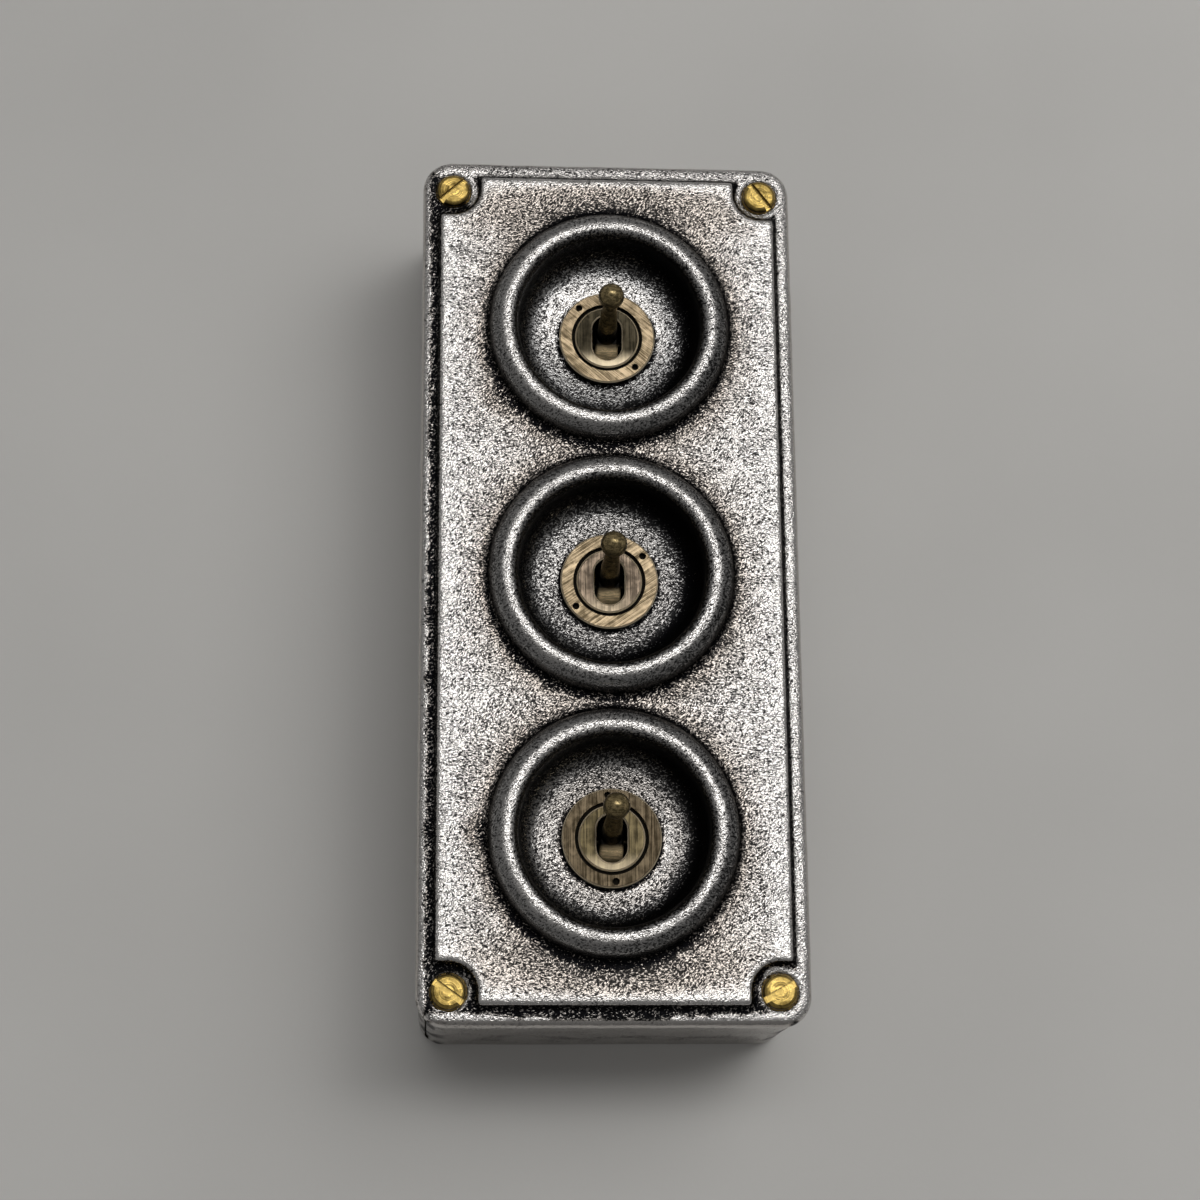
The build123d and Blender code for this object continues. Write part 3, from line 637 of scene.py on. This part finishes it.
def panelFinish(point, r, angle, near, wide):
    halfX, halfZ = coverLook["panelHalf"]
    inward = max(0.0, min(halfX - abs(point.x), halfZ - abs(point.z)))
    away = max(0.0, r - coverLook["beadOut"])
    ragged = 1.0 + panelWaxShadeAndSheen["ragged"] * noise.noise(point / panelWaxShadeAndSheen["raggedSize"])
    shadowSide = max(0.0, cos(angle + panelWaxShadeAndSheen["poolTurn"])) ** 2
    misty = panelWaxShadeAndSheen["mistAround"] + panelWaxShadeAndSheen["mistRight"] * max(0.0, cos(angle + panelWaxShadeAndSheen["mistTurn"]))
    misty += panelWaxShadeAndSheen["mistEnds"] * sin(angle) ** 2
    endWaxAndShade = smoothStep(abs(point.z), *panelWaxShadeAndSheen["endAt"])
    # lighter towards the right: painted highlight
    left = panelWaxShadeAndSheen["rubbed"] - panelWaxShadeAndSheen["right"] * max(0.0, point.x / halfX)
    left += panelWaxShadeAndSheen["hollow"] * max(near, panelWaxShadeAndSheen["least"])
    left += panelWaxShadeAndSheen["broadHollow"] * max(wide, panelWaxShadeAndSheen["broadLeast"])
    left -= panelWaxShadeAndSheen["edge"] * exp(-(inward / panelWaxShadeAndSheen["edgeWidth"]) ** 2)
    left += panelWaxShadeAndSheen["foot"] * exp(-(away / panelWaxShadeAndSheen["footWidth"]) ** 2)
    # painted shadow below and to the left of each bead, on top of the wax pooled there
    left += panelWaxShadeAndSheen["pool"] * shadowSide * exp(-(away / (panelWaxShadeAndSheen["poolWidth"] * ragged)) ** 2)
    left += panelWaxShadeAndSheen["mist"] * misty * exp(-away / panelWaxShadeAndSheen["mistWidth"])
    # ends darker: partly wax, partly painted shade
    left += (panelWaxShadeAndSheen["upperEnd"] if point.z > 0 else panelWaxShadeAndSheen["lowerEnd"]) * endWaxAndShade
    for x, z, size in panelWaxShadeAndSheen["blots"]:
        left += panelWaxShadeAndSheen["blot"] * exp(-((point.x - x) ** 2 + (point.z - z) ** 2) / size ** 2)
    return left, panelWaxShadeAndSheen["grit"] - panelWaxShadeAndSheen["endGrit"] * endWaxAndShade, panelWaxShadeAndSheen["warm"]


# sides of cover and box: a dark line where they meet, pits behind it and drips at the corners

sideWax = {
    "rubbed": 0.47,
    "seam": 0.55,
    "seamWidth": 0.5,
    "pits": 0.18,
    "pitSize": 6.0,
    "pitLevel": 20.0,
    "pitWidth": 14.0,
    "pitGrit": 2.0,
    "corner": (40.0, 104.0),
    "cornerWidth": 7.0,
    "drips": 1.4,
    "dripSize": (2.2, 9.0, 2.2),
    "hollow": 0.5,
    "grit": 0.22,
    "warm": 0.7,
}
parting = -boxLow.y / mm


def sideFinish(point, near, level):
    seam = sideWax["seam"] * exp(-((level - parting) / sideWax["seamWidth"]) ** 2)
    band = exp(-((level - sideWax["pitLevel"]) / sideWax["pitWidth"]) ** 2)
    pits = sideWax["pits"] * max(0.0, noise.noise(point / sideWax["pitSize"])) * band
    cornerX, cornerZ = sideWax["corner"]
    width = sideWax["cornerWidth"]
    corner = max(0.0, abs(point.x) - cornerX) / width * max(0.0, abs(point.z) - cornerZ) / width
    drips = noise.noise(Vector(c / size for c, size in zip(point, sideWax["dripSize"])))
    left = sideWax["rubbed"] + seam + pits + sideWax["drips"] * corner * max(0.0, drips)
    return left + sideWax["hollow"] * near, sideWax["grit"] + sideWax["pitGrit"] * pits, sideWax["warm"]


# which finish a place has, told from its distance to the gang, its level and the way it faces

finishEdges = {"well": 0.4, "facing": 0.3, "bead": 0.7, "border": 0.5}


def coverFinish(point, normal, near, wide):
    gang = min(gangs, key=lambda name: abs(point.z - gangs[name].z / mm))
    up = point.z - gangs[gang].z / mm
    r = hypot(point.x, up)
    angle = atan2(up, point.x)
    level = -point.y
    outside = min(coverHigh.x / mm - abs(point.x), coverHigh.z / mm - abs(point.z))
    below = coverHigh.z / mm + point.z < coverLook["lowerRim"]
    if r < coverLook["wellRadius"] + finishEdges["well"] and normal.y < finishEdges["facing"]:
        return wellFinish(r, angle, wellLook[gang])
    if r < coverLook["beadOut"] and level > coverLook["panelFront"] + finishEdges["bead"]:
        return beadFinish(r, angle)
    if outside < coverLook["rim"] or below or level < coverLook["sideFront"]:
        return sideFinish(point, near, level)
    if level < coverLook["panelFront"] - finishEdges["border"]:
        return borderFinish(point, near)
    return panelFinish(point, r, angle, near, wide)


def boxFinish(point, normal, near, wide):
    return sideFinish(point, near, -point.y)


castAlloy = castMetal("castAlloy")
castPiece("castCover", "cover_plate", coverLook, coverHidden, coverFinish, castAlloy)
castPiece("castBox", "back_box", boxLook, boxHidden, boxFinish, castAlloy)


# brass, steel and moulded pieces keep the frame's own solids

# per gang: the ring brightness is a painted reflection, darkest for the bottom ring; glow is a painted
# highlight low on the bush
toggleLook = {
    "top": {"ringTurn": -40, "ring": 0.53, "bush": (0.050, 0.042, 0.027), "glow": 0.75},
    "middle": {"ringTurn": 35, "ring": 0.49, "bush": (0.22, 0.17, 0.125), "glow": 0.25},
    "bottom": {"ringTurn": 90, "ring": 0.15, "bush": (0.125, 0.10, 0.054), "glow": 0.35},
}
ringLook = {"bright": (0.72, 0.56, 0.36), "dark": (0.20, 0.15, 0.085)}
bushLook = {"turn": 90, "darkShare": 0.3}
brassNodes = ("back_nut", "plunger", "rocker", "common_terminal", "side_terminals", "terminal_screws")
steelNodes = ("lock_washer", "switch_frame")


def setMaterial(node, material):
    mesh = frame["nodes"][node].data
    mesh.materials.clear()
    mesh.materials.append(material)


def frontOf(node):
    return -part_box(node)[0].y / mm


steel, brass, waxed, moulding = (plainMetal(name) for name in plainLook)
setMaterial("cover_screws", turnedBrass("screwBrass", frontOf("cover_screws")))
setMaterial("earth_screw", brass)
setMaterial("earth_washer", steel)
for gang, look in toggleLook.items():
    bright, dark = ([look["ring"] * c for c in ringLook[key]] for key in ("bright", "dark"))
    ringFront, bushFront = frontOf("dress_ring_" + gang), frontOf("bush_" + gang)
    ring = brushedBrass("ringBrass_" + gang, bright, dark, look["ringTurn"], ringFront)
    bushDark = [bushLook["darkShare"] * c for c in look["bush"]]
    bush = brushedBrass("bushBrass_" + gang, look["bush"], bushDark, bushLook["turn"],
                        bushFront, gangs[gang], look["glow"])
    setMaterial("dress_ring_" + gang, ring)
    setMaterial("bush_" + gang, bush)
    setMaterial("lever_" + gang, agedBronze("leverBronze_" + gang, gangs[gang], bushFront))
    setMaterial("pivot_pin_" + gang, waxed)
    setMaterial("switch_body_" + gang, moulding)
    for node in brassNodes:
        setMaterial(node + "_" + gang, brass)
    for node in steelNodes:
        setMaterial(node + "_" + gang, steel)
print("materials set")


# coil springs in the levers, each welded, given steel and carried with its toggle

def coilSpring(gang):
    plunger = next(j for j in frame["joints"] if j["name"] == "plunger_" + gang)
    axis = Vector(plunger["axis"]).normalized()
    mesh = weldedMesh("lever_spring_" + gang)
    mesh.materials.clear()
    mesh.materials.append(steel)
    spring = bpy.data.objects.new("coilSpring_" + gang, mesh)
    scene.collection.objects.link(spring)
    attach(spring, "toggle_" + gang)
    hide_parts("lever_spring_" + gang)
    ends = sorted((v.co.copy() for v in mesh.vertices), key=axis.dot)
    length = axis.dot(ends[-1] - ends[0])
    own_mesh(spring)
    return length / mm


print("springs:", [round(coilSpring(gang), 2) for gang in gangs], "mm long")


# pale wall, seen from the room only, with an opening that lets light reach the back of the box

wallLook = {
    "half": 1.2,
    "behind": 0.1,
    "openInside": 2.4,
    "openCorner": 9.0,
    "openSteps": 6,
    "paint": (0.625, 0.618, 0.602),
    "shade": (0.585, 0.578, 0.563),
    "shadeAt": (0.3, 0.7),
    "cloudScale": 0.008,
    "stippleScale": 0.35,
    "rough": 0.75,
    "bump": (0.25, 0.15),
}


def wallMesh():
    openX = boxHigh.x - wallLook["openInside"] * mm
    openZ = boxHigh.z - wallLook["openInside"] * mm
    work = bmesh.new()
    bmesh.ops.create_grid(work, x_segments=1, y_segments=1, size=wallLook["half"])
    middle = list(work.faces)[0]
    bmesh.ops.inset_individual(work, faces=[middle], thickness=wallLook["half"] / 2)
    for v in middle.verts:
        v.co = Vector((openX if v.co.x > 0 else -openX, openZ if v.co.y > 0 else -openZ, 0.0))
    bmesh.ops.bevel(work, geom=list(middle.verts), offset=wallLook["openCorner"] * mm, offset_type="OFFSET",
                    segments=wallLook["openSteps"], profile=0.5, affect="VERTICES", material=-1)
    middle = min(work.faces, key=lambda f: f.calc_center_median().length)
    bmesh.ops.delete(work, geom=[middle], context="FACES")
    for v in work.verts:
        v.co = Vector((v.co.x, wallLook["behind"] * mm, v.co.y))
    bmesh.ops.recalc_face_normals(work, faces=work.faces)
    for f in work.faces:
        if f.normal.y > 0:
            f.normal_flip()
    mesh = bpy.data.meshes.new("wall")
    work.to_mesh(mesh)
    work.free()
    return mesh


def wallPaint():
    material, tree, bsdf = newMaterial("wallPaint")
    place = inMillimetres(tree)
    stipple = grainNoise(tree, place, wallLook["stippleScale"], detail=3.0, rough=0.6)
    cloud = grainNoise(tree, place, wallLook["cloudScale"])
    paint = blend(tree, ramp(tree, cloud, *wallLook["shadeAt"]), wallLook["paint"], wallLook["shade"])
    finishMaterial(tree, bsdf, paint, wallLook["rough"], stipple, *wallLook["bump"], metal=0.0)
    behind = addNode(tree, "NewGeometry").outputs["Backfacing"]
    clear = addNode(tree, "BsdfTransparent").outputs[0]
    oneSided = addNode(tree, "MixShader", {0: behind, 1: bsdf.outputs[0], 2: clear})
    tree.links.new(oneSided.outputs[0], tree.nodes["Material Output"].inputs["Surface"])
    return material


wallSheet = wallMesh()
wallSheet.materials.append(wallPaint())
wall = bpy.data.objects.new("wall", wallSheet)
scene.collection.objects.link(wall)


# light: a dim room, brighter up in front, with one wide bright pane that the metal shows and a
# glow behind the wall

lightLook = {
    "window": {"place": (0.58, -1.0, 0.35), "size": 0.7, "power": 3.0, "colour": (1.0, 0.985, 0.96),
               "mirrored": False},
    "behind": {"place": (-0.7, 0.9, 0.5), "size": 0.8, "power": 9.0, "colour": (1.0, 1.0, 1.0),
               "mirrored": True},
}
lightTarget = Vector((0.0, -0.03, 0.0))
roomLook = {
    "colour": (1.0, 0.99, 0.975, 1.0),
    "way": (0.0, -0.6, 0.8),
    "wayAt": (-0.9, 1.0),
    "dim": 0.13,
    "bright": 0.235,
    "rearAt": (0.0, 0.25),
    "rear": 0.40,
    "seen": 0.42,
}
paneLook = {
    "right": 0.15,
    "up": 0.27,
    "halfWidth": 0.48,
    "halfHeight": 0.16,
    "fade": (1.5, 0.3),
    "bright": 4.6,
    "frontLimit": -0.05,
}
for name, look in lightLook.items():
    lamp = bpy.data.lights.new(name, "AREA")
    lamp.size = look["size"]
    lamp.energy = look["power"]
    lamp.color = look["colour"]
    lampObject = bpy.data.objects.new(name, lamp)
    lampObject.location = look["place"]
    lampObject.rotation_euler = (lightTarget - Vector(look["place"])).to_track_quat("-Z", "Y").to_euler()
    lampObject.visible_glossy = look["mirrored"]
    scene.collection.objects.link(lampObject)


def lightRoom():
    world = bpy.data.worlds.new("room")
    world.use_nodes = True
    scene.world = world
    tree = world.node_tree
    outward = addNode(tree, "TexCoord").outputs["Generated"]
    towards = vectors(tree, "DOT_PRODUCT", outward, roomLook["way"])
    glow = ramp(tree, towards, *roomLook["wayAt"], roomLook["dim"], roomLook["bright"])
    x, y, z = addNode(tree, "SeparateXYZ", {0: outward}).outputs
    ahead = maths(tree, "MINIMUM", y, paneLook["frontLimit"])
    aside = maths(tree, "DIVIDE", x, ahead)
    above = maths(tree, "DIVIDE", z, ahead)
    halfWidth, halfHeight = paneLook["halfWidth"], paneLook["halfHeight"]
    u = sums(tree, (aside, -1.0 / halfWidth), (1.0, -paneLook["right"] / halfWidth))
    v = sums(tree, (above, -1.0 / halfHeight), (1.0, -paneLook["up"] / halfHeight))
    off = vectors(tree, "LENGTH", addNode(tree, "CombineXYZ", {0: u, 1: v}).outputs[0])
    pane = ramp(tree, off, *paneLook["fade"], 0.0, paneLook["bright"])
    rear = ramp(tree, y, *roomLook["rearAt"], 0.0, roomLook["rear"])    # for the back of the box
    light = sums(tree, (glow, 1.0), (pane, 1.0), (rear, 1.0))
    seen = addNode(tree, "LightPath").outputs["Is Camera Ray"]
    strength = mixed(tree, seen, light, roomLook["seen"])
    setInputs(tree, tree.nodes["Background"], {"Strength": strength, "Color": roomLook["colour"]})


lightRoom()
scene.view_settings.view_transform = "Standard"
print("lights set")


# camera: the photograph's own place, low and a little to the left

cameraLook = {
    "place": (-0.04780, -0.67531, -0.17954),
    "turn": (105.495, 0.4913, -3.9963),
    "lens": 77.639,
    "sensor": 36.0,
}
lens = bpy.data.cameras.new("camera")
lens.lens = cameraLook["lens"]
lens.sensor_width = cameraLook["sensor"]
cameraObject = bpy.data.objects.new("camera", lens)
cameraObject.location = cameraLook["place"]
cameraObject.rotation_euler = [radians(t) for t in cameraLook["turn"]]
scene.collection.objects.link(cameraObject)
scene.camera = cameraObject
